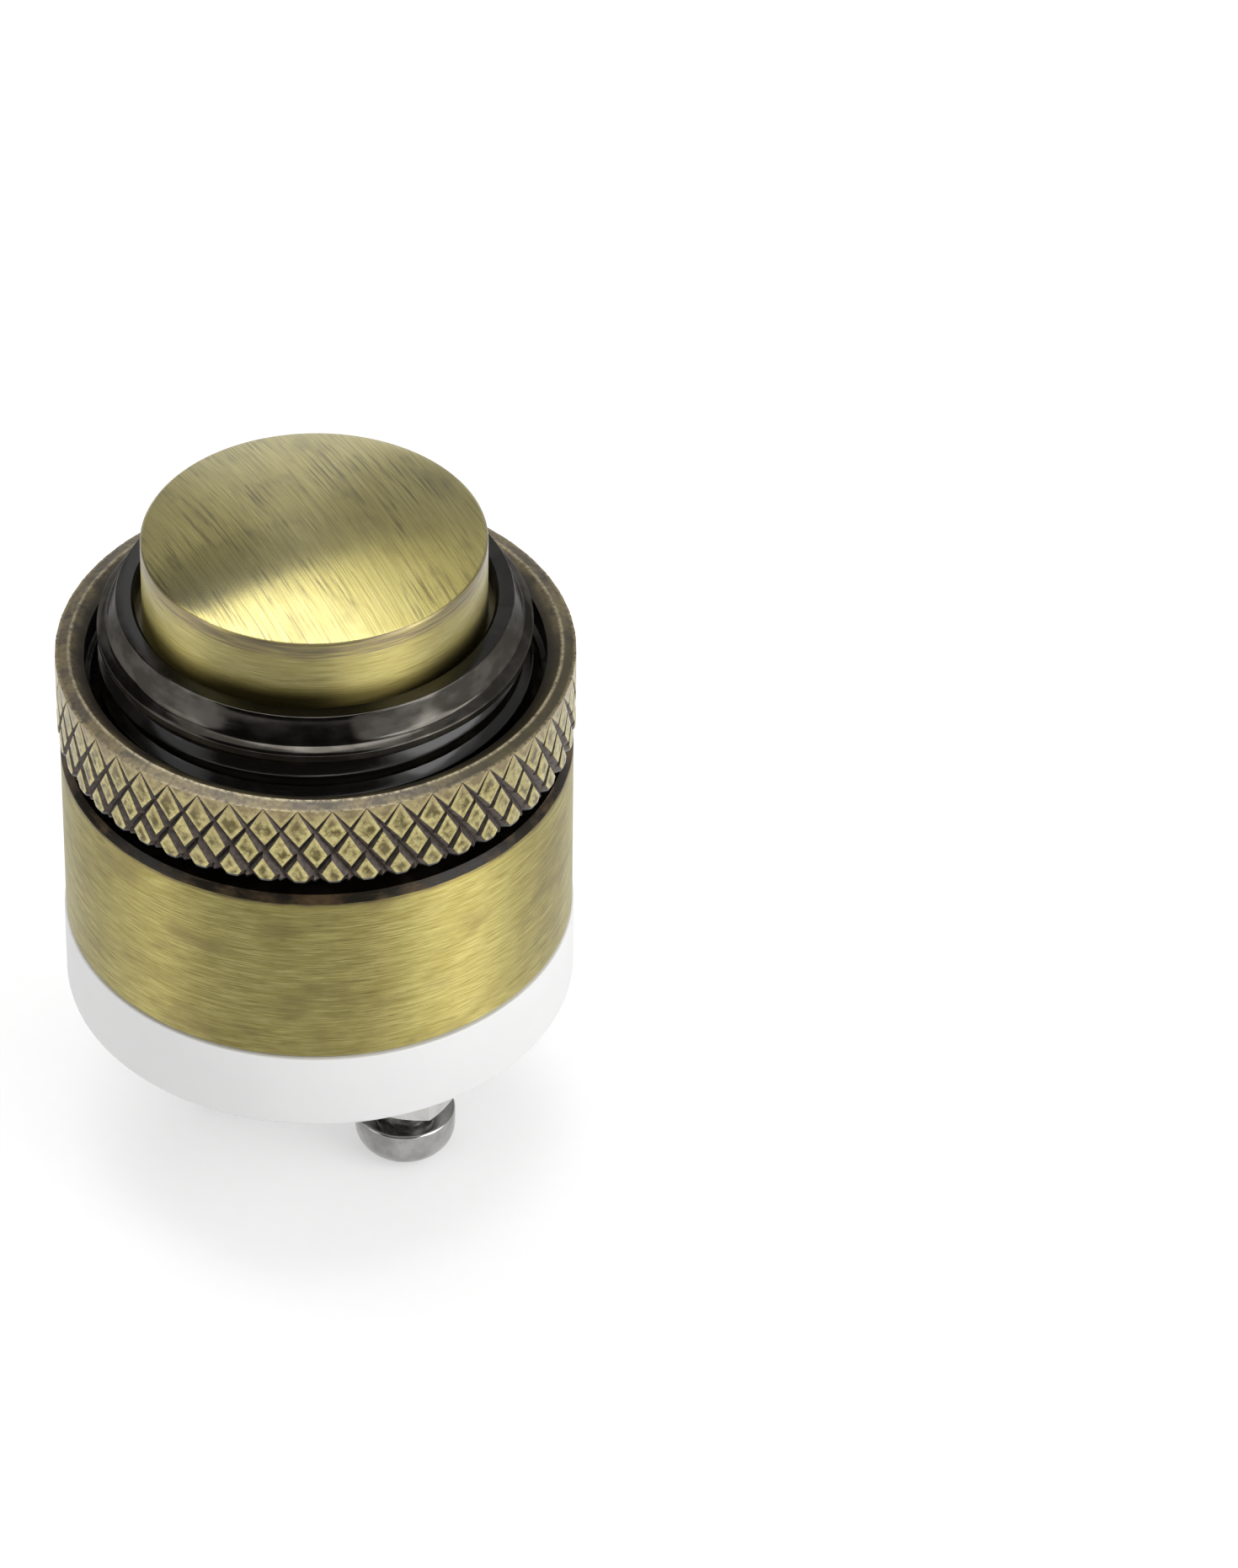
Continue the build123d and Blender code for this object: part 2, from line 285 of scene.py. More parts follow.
def brushed_brass(name, dark, light, roughness, lacquer=0.55, stroke=(1.6, 0.045), turn=0.0,
                  straight=False, relief=0.004):
    """Lacquered antique brass with brush strokes and soft clouds, and the sockets to tint it further."""
    stretch = 0.95
    item, tree, shader = metal(name, 1.0, roughness, anisotropic=stretch, lacquer=lacquer)
    fine, scratch = hairlines(tree, *stroke, turn, straight)
    cloud = grain(tree, (3.2, 3.2, 1.6), detail=3, turn=turn)
    scratch_brown = tuple(c * 0.5 for c in dark)
    colour = tinted(tree, spread(tree, fine, 0.30, 0.70), dark, light)
    colour = tinted(tree, spread(tree, cloud, 0.42, 0.72, 0.0, 0.4), colour, dark)
    colour = tinted(tree, spread(tree, scratch, 0.60, 0.74, 0.0, 0.55), colour, scratch_brown)
    rough = spread(tree, fine, 0.3, 0.7, roughness * 1.08, roughness * 0.92)
    tree.links.new(rough, shader.inputs["Roughness"])
    bumped(tree, shader, worked(tree, "SUBTRACT", fine, scratch), relief, 0.5)
    return item, tree, shader, colour, fine


def brushed_sleeve():
    """Antique brass with strokes round the sleeve, brown tarnish, and a worn line under the chamfer."""
    dark = (0.318, 0.263, 0.066)
    light = (0.525, 0.459, 0.168)
    tarnish_brown = (0.235, 0.182, 0.072)
    nick_brown = (0.145, 0.112, 0.032)
    worn_brown = (0.13, 0.095, 0.045)
    worn_foot, worn_top = -0.60, -0.36
    item, tree, shader, colour, fine = brushed_brass("brushed_sleeve", dark, light, 0.47, lacquer=0.3)
    tarnish = grain(tree, (3.4, 3.4, 1.7), detail=4)
    colour = tinted(tree, spread(tree, tarnish, 0.50, 0.70, 0.0, 0.45), colour, tarnish_brown)
    nick = grain(tree, (1.0, 1.0, 0.032), detail=2)
    colour = tinted(tree, spread(tree, nick, 0.58, 0.70, 0.0, 0.6), colour, nick_brown)
    near_chamfer = spread(tree, placed(tree, "Z"), worn_foot, worn_top)
    worn = worked(tree, "MULTIPLY", near_chamfer, spread(tree, fine, 0.40, 0.58))
    colour = tinted(tree, worn, colour, worn_brown)
    tree.links.new(colour, shader.inputs["Base Color"])
    return item


def turned_patina(tree):
    """Faint turning lines and soft clouds of blackened brass."""
    lines = grain(tree, (9.0, 9.0, 0.06), detail=4, roughness=0.7)
    cloud = grain(tree, (1.6, 1.6, 0.8), detail=5)
    return lines, cloud


def dark_patina(name, roughness, specular=0.8, tone=1.0, warm=(0.020, 0.016, 0.011)):
    """Blackened brass with faint turning lines and rubbed streaks."""
    black = tuple(c * tone for c in (0.0065, 0.0052, 0.0035))
    brown = tuple(c * tone for c in warm)
    rubbed_brown = tuple(c * 2.5 for c in brown)
    item, tree, shader = metal(name, 0.0, roughness, specular=specular)
    lines, cloud = turned_patina(tree)
    colour = tinted(tree, spread(tree, cloud, 0.45, 0.7), black, brown)
    rubbed = grain(tree, (2.2, 2.2, 0.05), detail=3, roughness=0.6)
    colour = tinted(tree, spread(tree, rubbed, 0.60, 0.72, 0.0, 0.5), colour, rubbed_brown)
    rough = spread(tree, cloud, 0.35, 0.75, roughness * 0.8, roughness * 1.6)
    surfaced(tree, shader, colour, rough)
    bumped(tree, shader, lines, 0.004, 0.35)
    return item


def polished_black():
    """Blackened brass of the bezel, polished until it mirrors, with faint turning lines."""
    dark = (0.050, 0.046, 0.039)
    light = (0.086, 0.080, 0.071)
    grazing_tint = (0.5, 0.5, 0.5, 1)
    item, tree, shader = metal("bezel_patina", 1.0, 0.13)
    shader.inputs["Specular Tint"].default_value = grazing_tint
    lines, cloud = turned_patina(tree)
    colour = tinted(tree, spread(tree, cloud, 0.40, 0.66), dark, light)
    surfaced(tree, shader, colour, spread(tree, cloud, 0.35, 0.75, 0.10, 0.19))
    bumped(tree, shader, lines, 0.004, 0.35)
    return item


sleeve_low, sleeve_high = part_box("housing")
sleeve_radius = sleeve_high[0] / MM
sleeve_rear = sleeve_low[2] / MM
sleeve_bore = 10.9
sleeve_edge_round = 0.05
front_chamfer = 0.33
rear_chamfer = 0.22
bezel_front = sleeve_high[2] / MM
lip_bore = 8.35
lip_edge = 9.2
lip_edge_round = 0.06
lip_chamfer = 0.15
lip_floor = bezel_front - 1.1
cove_foot = (9.66, bezel_front - 1.24)
cove_round = 0.1
bead_edge = (10.08, bezel_front - 1.49)
bead_side = (10.1, bezel_front - 1.55)
relief_radius = 9.75
relief_top = bezel_front - 1.85
relief_foot = bezel_front - 2.15
relief_taper = 0.1
thread_crest = 10.1
thread_root = 9.72
thread_pitch = 1.25
thread_sink = 0.1
register_radius = 10.3
register_height = 0.85
thread_start = register_height + 0.036
thread_end = relief_foot - 0.2
neck_bore = 9.05
web_floor = -1.4

outline = [
    (lip_bore, lip_floor),
    (lip_bore, bezel_front - lip_chamfer),
    (lip_bore + lip_chamfer, bezel_front),
    (lip_edge, bezel_front),
    *arc((lip_edge, bezel_front), cove_foot, -0.02, 6),
    cove_foot,
    *arc(cove_foot, bead_edge, 0.015, 4),
    bead_edge,
    *arc(bead_edge, bead_side, 0.008, 4),
    bead_side,
    (bead_side[0], relief_top),
    (relief_radius, relief_top),
    (relief_radius, relief_foot),
    (thread_root, relief_foot - relief_taper),
    (thread_root, register_height),
    (register_radius, register_height),
    (register_radius, 0),
    (sleeve_radius - front_chamfer, 0),
    (sleeve_radius, -front_chamfer),
    (sleeve_radius, sleeve_rear + rear_chamfer),
    (sleeve_radius - rear_chamfer, sleeve_rear),
    (sleeve_bore, sleeve_rear),
    (sleeve_bore, web_floor),
    (neck_bore, web_floor),
    (neck_bore, lip_floor),
]
rounding = {
    (lip_edge, bezel_front): lip_edge_round,
    cove_foot: cove_round,
    (sleeve_radius, -front_chamfer): sleeve_edge_round,
    (sleeve_radius, sleeve_rear + rear_chamfer): sleeve_edge_round,
}
bm = bmesh.new()
spun(bm, outline, rounding)
thread_ridge(bm, thread_root - thread_sink, thread_crest, thread_start, thread_end, thread_pitch)

shoulder_margin = 0.01
lip_margin = 0.03
brushed, polished, blackened, browned = range(4)
wall = []
for face in bm.faces:
    middle = face.calc_center_median() / MM
    radius = hypot(middle.x, middle.y)
    on_wall = radius > sleeve_radius - rear_chamfer and middle.z < -front_chamfer
    on_neck = -shoulder_margin < middle.z < bead_side[1]
    on_lip = middle.z > bezel_front - 2 * lip_chamfer and radius < lip_edge - lip_margin
    on_chamfer = -front_chamfer < middle.z < -shoulder_margin and radius > sleeve_bore
    if on_wall:
        face.material_index = brushed
        wall.append(face)
    elif on_neck or on_lip:
        face.material_index = blackened
    elif on_chamfer:
        face.material_index = browned
    else:
        face.material_index = polished
brush_map(bm, wall, round_the_axis)
# The neck's patina is painted darker than the rest. This is painted shade for the narrow gaps above and
# below the ring nut. The lip's flat top shares this material.
housing_finishes = [
    brushed_sleeve(),
    polished_black(),
    dark_patina("neck_patina_and_gap_shade", 0.15, specular=0.4, tone=0.35),
    dark_patina("chamfer_patina", 0.28, specular=0.16, tone=2.2, warm=(0.032, 0.020, 0.009)),
]
finished(bm, "housing_turned", housing_finishes, "switch_body", "antique_brass", "housing")


# Push button: a hollow cap turned from brass, with a shallow dome. The dome is brushed straight across
# and the side is brushed round, both left a dull antique yellow. A flange keeps it under the lip.
stroke_turn = radians(-38.0)
dome_strokes = Vector((cos(stroke_turn), sin(stroke_turn), 0))
side_climb = Vector((0, 0, tan(radians(-14))))


def brushed_dome():
    """Antique brass with straight strokes of uneven length across the dome."""
    dark = (0.335, 0.282, 0.068)
    light = (0.505, 0.443, 0.155)
    scuff_brown = (0.16, 0.13, 0.034)
    haze_brown = (0.17, 0.14, 0.038)
    lacquer_ior = 1.6
    item, tree, shader, colour, _ = brushed_brass("brushed_dome", dark, light, 0.25, 0.9, (2.8, 0.05),
                                                  stroke_turn, straight=True, relief=0.0038)
    shader.inputs["Coat IOR"].default_value = lacquer_ior
    scuff = grain(tree, (3.4, 0.15, 3.4), detail=3, turn=stroke_turn, roughness=0.6)
    rubbed = grain(tree, (3.0, 3.0, 3.0), detail=2)
    scuffed = spread(tree, scuff, 0.50, 0.66)
    dulled = worked(tree, "MULTIPLY", scuffed, spread(tree, rubbed, 0.42, 0.58, 0.1, 0.85))
    colour = tinted(tree, dulled, colour, scuff_brown)
    haze = grain(tree, (2.8, 1.5, 2.8), detail=3, turn=stroke_turn)
    colour = tinted(tree, spread(tree, haze, 0.52, 0.74, 0.0, 0.4), colour, haze_brown)
    tree.links.new(colour, shader.inputs["Base Color"])
    return item


def brushed_side():
    """Antique brass brushed round the cap's side, browner just under the rim, and darkened towards the lip
    by a painted reflection of the dark lip.
    """
    dark = (0.36, 0.303, 0.09)
    light = (0.53, 0.46, 0.175)
    rim_brown = (0.205, 0.162, 0.095)
    lip_reflection_shade = (0.10, 0.075, 0.022)
    rim_brown_foot, rim_brown_top = 11.2, 11.9
    lip_reflection_top, lip_reflection_full = 9.4, 8.4
    item, tree, shader, colour, _ = brushed_brass("brushed_side", dark, light, 0.42)
    height = placed(tree, "Z")
    streak = grain(tree, (2.6, 2.6, 0.11), detail=3)
    ragged = worked(tree, "ADD", height, worked(tree, "MULTIPLY", streak, 1.3))
    near_rim = spread(tree, ragged, rim_brown_foot, rim_brown_top)
    under_rim = worked(tree, "MULTIPLY", near_rim, spread(tree, streak, 0.36, 0.62, 0.4, 0.95))
    colour = tinted(tree, under_rim, colour, rim_brown)
    # Painted shade: the side darkens towards the lip. This stands for its reflection of the dark lip and
    # bezel.
    lip_reflection_mask = spread(tree, height, lip_reflection_top, lip_reflection_full, 0.0, 0.85)
    colour = tinted(tree, lip_reflection_mask, colour, lip_reflection_shade)
    tree.links.new(colour, shader.inputs["Base Color"])
    return item


button_low, button_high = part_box("push_button")
button_radius = 8.0
button_edge = 0.1
button_edge_round = 0.05
dome_top = button_high[2] / MM
dome_rise = 0.95
button_rim = dome_top - dome_rise
flange_radius = button_high[0] / MM
flange_foot = button_low[2] / MM
flange_top = flange_foot + 1.2
cap_bore = button_radius - 1.2
cap_ceiling = button_rim - 1.5
dome_rim = (button_radius - button_edge, button_rim)
dome_radius = (dome_rim[0] ** 2 + dome_rise**2) / (2 * dome_rise)
dome_half = Vector((dome_rim[0], dome_rise)).length / 2
dome_sagitta = dome_radius - sqrt(dome_radius**2 - dome_half**2)
side_top = (button_radius, button_rim - button_edge)
outline = [
    (0, dome_top),
    *arc((0, dome_top), dome_rim, dome_sagitta, 18),
    dome_rim,
    side_top,
    (button_radius, flange_top),
    (flange_radius, flange_top),
    (flange_radius, flange_foot),
    (cap_bore, flange_foot),
    (cap_bore, cap_ceiling),
    (0, cap_ceiling),
]
bm = bmesh.new()
spun(bm, outline, {dome_rim: button_edge_round, side_top: button_edge_round}, closed=False)
dome_margin = 0.02
dome_faces = []
side_faces = []
for face in bm.faces:
    if face.calc_center_median().z > (button_rim - dome_margin) * MM:
        face.material_index = 0
        dome_faces.append(face)
    else:
        face.material_index = 1
        side_faces.append(face)
brush_map(bm, side_faces, lambda face: (round_the_axis(face) + side_climb).normalized())
brush_map(bm, dome_faces, lambda face: dome_strokes)
finished(bm, "push_button_cap", [brushed_dome(), brushed_side()], "button", "brushed_brass", "push_button")


# Plunger, bridge and spring: a black moulding inside the cap pushes a flat brass strip onto the two
# contacts, and a steel spring in the base's well lifts all of it again. None is seen from outside.
def plain_stock(name, dark, light, roughness, metallic=1.0, lines=(1.2, 0.05, 1.2)):
    """Rolled, drawn or moulded stock with faint lines along it."""
    item, tree, shader = metal(name, metallic, roughness)
    streak = grain(tree, lines, detail=4)
    spot = grain(tree, (0.7, 0.7, 0.7), detail=4)
    mixed = worked(tree, "MULTIPLY", worked(tree, "ADD", streak, spot), 0.5)
    colour = tinted(tree, spread(tree, mixed, 0.38, 0.62), dark, light)
    surfaced(tree, shader, colour, spread(tree, mixed, 0.3, 0.7, roughness * 1.25, roughness * 0.8))
    bumped(tree, shader, mixed, 0.006, 0.4)
    return item


def dress(node, item):
    """Gives a solid that keeps its own mesh a finish."""
    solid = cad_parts[node]
    for holder in solid.material_slots:
        holder.material = item


rolled_brass = plain_stock("rolled_brass", (0.45, 0.33, 0.12), (0.66, 0.51, 0.22), 0.3)
black_moulding = plain_stock("black_moulding", (0.012, 0.012, 0.013), (0.028, 0.028, 0.030), 0.5,
                             metallic=0.0, lines=(0.5, 0.5, 0.5))
dress("plunger", black_moulding)
dress("contact_bridge", rolled_brass)

spring_low, spring_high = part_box("return_spring")
spring_length = spring_high[2] - spring_low[2]
wire_radius = 0.2
wire_sides = 10
coil_turns = 3.5
coil_steps = int(coil_turns * 36)
coil_radius = spring_high[0] / MM - 0.22
coil_rise = spring_length / MM - 2 * wire_radius
bm = bmesh.new()
wire = bmesh.ops.create_circle(bm, segments=wire_sides, radius=wire_radius * MM, cap_ends=True)["verts"]
bmesh.ops.rotate(bm, verts=wire, matrix=Matrix.Rotation(pi / 2, 3, "X"))
bmesh.ops.translate(bm, verts=wire, vec=(coil_radius * MM, 0, spring_low[2] + wire_radius * MM))
bmesh.ops.spin(bm, geom=bm.verts[:] + bm.edges[:] + bm.faces[:], cent=(0, 0, 0), axis=(0, 0, 1),
               angle=2 * pi * coil_turns, steps=coil_steps, dvec=(0, 0, coil_rise * MM / coil_steps))
bmesh.ops.recalc_face_normals(bm, faces=bm.faces)
spring_steel = plain_stock("spring_steel", (0.36, 0.36, 0.37), (0.58, 0.58, 0.58), 0.28)
spring = finished(bm, "return_spring_coil", [spring_steel], "switch_body", "spring_steel", "return_spring")
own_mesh(spring)


# Base: a white moulding that closes the sleeve, matt and slightly soft at its edges. Each post stands in
# a square pocket, and a raised partition keeps the two bare wires apart.
def white_moulding():
    """Matt white plastic with a faint mottle and a soft moulded skin."""
    dark = (0.675, 0.675, 0.675)
    light = (0.725, 0.725, 0.72)
    item, tree, shader = metal("white_moulding", 0.0, 0.46, specular=0.4)
    cloud = grain(tree, (3.0, 3.0, 3.0), detail=4)
    skin = grain(tree, (0.12, 0.12, 0.12), detail=3)
    surfaced(tree, shader, tinted(tree, cloud, dark, light), spread(tree, skin, 0.3, 0.7, 0.40, 0.54))
    bumped(tree, shader, skin, 0.004, 0.35)
    return item


base_low, base_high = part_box("base")
base_swell = 0.18
base_radius = base_high[0] / MM + base_swell
base_rear = -13.77
base_rear_round = 0.25
base_front_round = 0.08
rear_flat = base_high[0] / MM - 1.2
spigot_radius = 10.87
spigot_top = base_high[2] / MM
spigot_chamfer = 0.5
well_radius = 2.3
well_floor = -6.0
post_low, post_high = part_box("terminal_post_right")
post_offset = (post_low[0] + post_high[0]) / 2 / MM
post_size = (post_high[0] - post_low[0]) / MM
pocket_half = post_size / 2 + 0.15
pocket_end = post_offset + pocket_half
pocket_depth = 1.0
partition_half = post_offset - pocket_half
partition_depth_half = 2.9
partition_end = base_low[2] / MM
partition_round = 0.16
outline = [
    (rear_flat, base_rear),
    (base_radius, base_rear),
    (base_radius, sleeve_rear),
    (spigot_radius, sleeve_rear),
    (spigot_radius, spigot_top - spigot_chamfer),
    (spigot_radius - spigot_chamfer, spigot_top),
    (well_radius, spigot_top),
    (well_radius, well_floor),
    (0, well_floor),
]
rounding = {(base_radius, base_rear): base_rear_round, (base_radius, sleeve_rear): base_front_round}
bm = bmesh.new()
spun(bm, outline, rounding, closed=False)
rear_rim = [e for e in bm.edges if e.is_boundary]
flat = list(bmesh.ops.contextual_create(bm, geom=rear_rim)["faces"])
flat_margin = 0.01
LEVEL = 0.001 * MM


def on_rear_flat(face):
    """Whether a face lies in the flat middle of the base's rear."""
    level = abs(face.calc_center_median().z - base_rear * MM) < LEVEL
    return level and max(hypot(v.co.x, v.co.y) for v in face.verts) < (rear_flat + flat_margin) * MM


cuts = [((side * x, 0), (1, 0)) for side in (-1, 1) for x in (partition_half, pocket_end)]
cuts += [((0, side * y), (0, 1)) for side in (-1, 1) for y in (pocket_half, partition_depth_half)]
for point, normal in cuts:
    around = list({g for f in flat for g in (*f.verts, *f.edges)})
    bmesh.ops.bisect_plane(bm, geom=flat + around, dist=0.0001 * MM,
                           plane_co=(point[0] * MM, point[1] * MM, 0), plane_no=(*normal, 0))
    flat = [f for f in bm.faces if on_rear_flat(f)]


def raised(bm, faces, height):
    """Pushes a patch of faces up or down with walls round it."""
    made = bmesh.ops.extrude_face_region(bm, geom=faces)["geom"]
    moved = [g for g in made if isinstance(g, bmesh.types.BMVert)]
    bmesh.ops.translate(bm, verts=moved, vec=(0, 0, height * MM))
    bmesh.ops.delete(bm, geom=[f for f in faces if f.is_valid], context="FACES_ONLY")


def inside(face, x_low, x_high, y_half):
    """Whether a face of the flat rear lies in a rectangle, on either side of the middle."""
    middle = face.calc_center_median() / MM
    return x_low < abs(middle.x) < x_high and abs(middle.y) < y_half


pockets = [f for f in flat if inside(f, partition_half, pocket_end, pocket_half)]
partition = [f for f in flat if inside(f, -1, partition_half, partition_depth_half)]
raised(bm, pockets, pocket_depth)
raised(bm, partition, partition_end - base_rear)
bmesh.ops.recalc_face_normals(bm, faces=bm.faces)


def turned_corner(edge):
    """Whether an edge stands out or in between two walls."""
    return len(edge.link_faces) == 2 and edge.calc_face_angle() > SHARP


def on_partition(edge):
    """Whether an edge reaches below the flat rear, as the partition's do."""
    low = min(v.co.z for v in edge.verts) < (base_rear - 0.1) * MM
    return low and max(abs(v.co.x) for v in edge.verts) < (partition_half + flat_margin) * MM


partition_edges = [e for e in bm.edges if turned_corner(e) and on_partition(e)]
bmesh.ops.bevel(bm, geom=partition_edges, offset=partition_round * MM, offset_type="OFFSET", affect="EDGES",
                segments=3, profile=0.5, material=-1, clamp_overlap=True)
finished(bm, "base_moulding", [white_moulding()], "switch_body", "white_moulding", "base")


# Fixed contacts and fixing screws: bent brass strips on the base, each held with its terminal post by a
# slotted brass screw from inside.
for node_side in ("left", "right"):
    dress("fixed_contact_" + node_side, rolled_brass)
    dress("fixing_screw_" + node_side, rolled_brass)


# Terminal posts: square bar, nickel plated, with a turned end, a cross hole for the bell wire and a
# tapped hole for the clamping screw. The plating is satin, with fine marks from sawing and drilling.
def satin_nickel():
    """Nickel over brass, slightly warm, with fine upright marks and small pits."""
    dark = (0.52, 0.51, 0.49)
    light = (0.70, 0.69, 0.67)
    pit_grey = (0.30, 0.29, 0.28)
    item, tree, shader = metal("satin_nickel", 1.0, 0.3)
    marks = grain(tree, (0.06, 0.06, 2.2), detail=5, roughness=0.65)
    pits = grain(tree, (0.25, 0.25, 0.25), detail=4)
    cloud = grain(tree, (2.0, 2.0, 2.0), detail=3)
    colour = tinted(tree, spread(tree, cloud, 0.35, 0.7), dark, light)
    colour = tinted(tree, spread(tree, pits, 0.62, 0.75, 0.0, 0.6), colour, pit_grey)
    surfaced(tree, shader, colour, spread(tree, marks, 0.3, 0.7, 0.24, 0.40))
    bumped(tree, shader, marks, 0.008, 0.5)
    return item


def eased_copy(node, easing):
    """Copy of a solid's mesh, welded, with flat faces joined and sharp edges slightly rounded."""
    bm = bmesh.new()
    bm.from_mesh(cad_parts[node].data)
    bmesh.ops.remove_doubles(bm, verts=bm.verts, dist=0.001 * MM)
    bmesh.ops.dissolve_limit(bm, angle_limit=radians(0.4), verts=bm.verts, edges=bm.edges)
    sharp = [e for e in bm.edges if turned_corner(e)]
    bmesh.ops.bevel(bm, geom=sharp, offset=easing * MM, offset_type="OFFSET", affect="EDGES", segments=2,
                    profile=0.5, material=-1, clamp_overlap=True)
    return bm


nickel = satin_nickel()
post_easing = 0.05
for node_side in ("left", "right"):
    node = "terminal_post_" + node_side
    finished(eased_copy(node, post_easing), node + "_plated", [nickel], "switch_body", "nickel_plate", node)


# Terminal screws: bright nickel pan heads with a slot and a cross recess, a fine thread and a dog point
# that presses the wire in the post's hole. Each was stopped at its own turn.
def bright_nickel():
    """Polished plating, slightly clouded, with dark marks where the driver and die have rubbed."""
    dark = (0.28, 0.276, 0.272)
    light = (0.44, 0.436, 0.428)
    rubbed_grey = (0.20, 0.195, 0.19)
    item, tree, shader = metal("bright_nickel", 1.0, 0.16)
    cloud = grain(tree, (1.4, 1.4, 1.4), detail=4)
    rubbed = grain(tree, (0.3, 0.3, 0.08), detail=4)
    colour = tinted(tree, spread(tree, cloud, 0.35, 0.7), dark, light)
    colour = tinted(tree, spread(tree, rubbed, 0.60, 0.78, 0.0, 0.7), colour, rubbed_grey)
    surfaced(tree, shader, colour, spread(tree, rubbed, 0.35, 0.7, 0.11, 0.26))
    bumped(tree, shader, cloud, 0.01, 0.3)
    return item


def cut_away(bm, cutter):
    """Takes one closed shape out of another and returns what remains."""
    holders = []
    for shape in (bm, cutter):
        mesh = bpy.data.meshes.new("blank")
        shape.to_mesh(mesh)
        shape.free()
        holders.append(bpy.data.objects.new("blank", mesh))
        bpy.context.collection.objects.link(holders[-1])
    cut = holders[0].modifiers.new("recess", "BOOLEAN")
    cut.operation = "DIFFERENCE"
    cut.solver = "EXACT"
    cut.use_self = True
    cut.object = holders[1]
    bpy.context.view_layer.update()
    remains = bmesh.new()
    remains.from_object(holders[0], bpy.context.evaluated_depsgraph_get())
    for holder in holders:
        bpy.data.meshes.remove(holder.data)
    return remains


screw_low, screw_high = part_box("terminal_screw_right")
screw_tip = screw_high[2] / MM
screw_steps = 64
head_end = screw_low[2] / MM
head_radius = (screw_high[0] - screw_low[0]) / 2 / MM
head_seat = head_end + 2.33
head_side_end = head_seat - 1.0
head_seat_round = 0.14
crown_radius = 0.95
crown_bulge = -0.42
shank_root = 1.2
shank_crest = 1.5
shank_sink = 0.08
screw_pitch = 0.5
screw_thread_steps = 36
dog_radius = 1.07
dog_foot = screw_tip - 1.1
dog_tip_round = 0.15
screw_thread_start = head_seat + 0.25
screw_thread_end = dog_foot - 0.5
slot_length = 2.2 * head_radius
slot_width = 0.75
slot_depth = 0.85
cross_width = 0.85
cross_length = 2.9
cross_depth = 1.35
head_turns = {"left": radians(62), "right": radians(24)}
outline = [
    (0, head_end),
    (crown_radius, head_end),
    *arc((crown_radius, head_end), (head_radius, head_side_end), crown_bulge, 9),
    (head_radius, head_side_end),
    (head_radius, head_seat),
    (shank_root, head_seat),
    (shank_root, dog_foot - 0.2),
    (dog_radius, dog_foot),
    (dog_radius, screw_tip),
    (0, screw_tip),
]
rounding = {(head_radius, head_seat): head_seat_round, (dog_radius, screw_tip): dog_tip_round}
recesses = (
    (slot_length, slot_width, slot_depth),
    (cross_width, cross_length, cross_depth),
    (cross_length, cross_width, cross_depth),
)
bright = bright_nickel()
for node_side, sign in (("left", -1), ("right", 1)):
    bm = bmesh.new()
    spun(bm, outline, rounding, steps=screw_steps, closed=False)
    cutter = bmesh.new()
    for length, width, depth in recesses:
        verts = bmesh.ops.create_cube(cutter, size=MM)["verts"]
        bmesh.ops.scale(cutter, verts=verts, vec=(length, width, 2 * depth))
        bmesh.ops.translate(cutter, verts=verts, vec=(0, 0, head_end * MM))
    bm = cut_away(bm, cutter)
    thread_ridge(bm, shank_root - shank_sink, shank_crest, screw_thread_start, screw_thread_end, screw_pitch,
                 screw_thread_steps)
    bmesh.ops.rotate(bm, verts=bm.verts, matrix=Matrix.Rotation(head_turns[node_side], 3, "Z"))
    bmesh.ops.translate(bm, verts=bm.verts, vec=(sign * post_offset * MM, 0, 0))
    node = "terminal_screw_" + node_side
    finished(bm, node + "_pan_head", [bright], "screw_" + node_side, "nickel_screw", node)


# Ring nut: a brass ring with a diamond knurl rolled into it, blackened and then rubbed bright on the
# diamonds, so the grooves stay dark. It screws down the neck and clamps the panel.
def painted(tree, name):
    """A value stored with the mesh."""
    node = tree.nodes.new("ShaderNodeAttribute")
    node.attribute_name = name
    return node.outputs["Fac"]


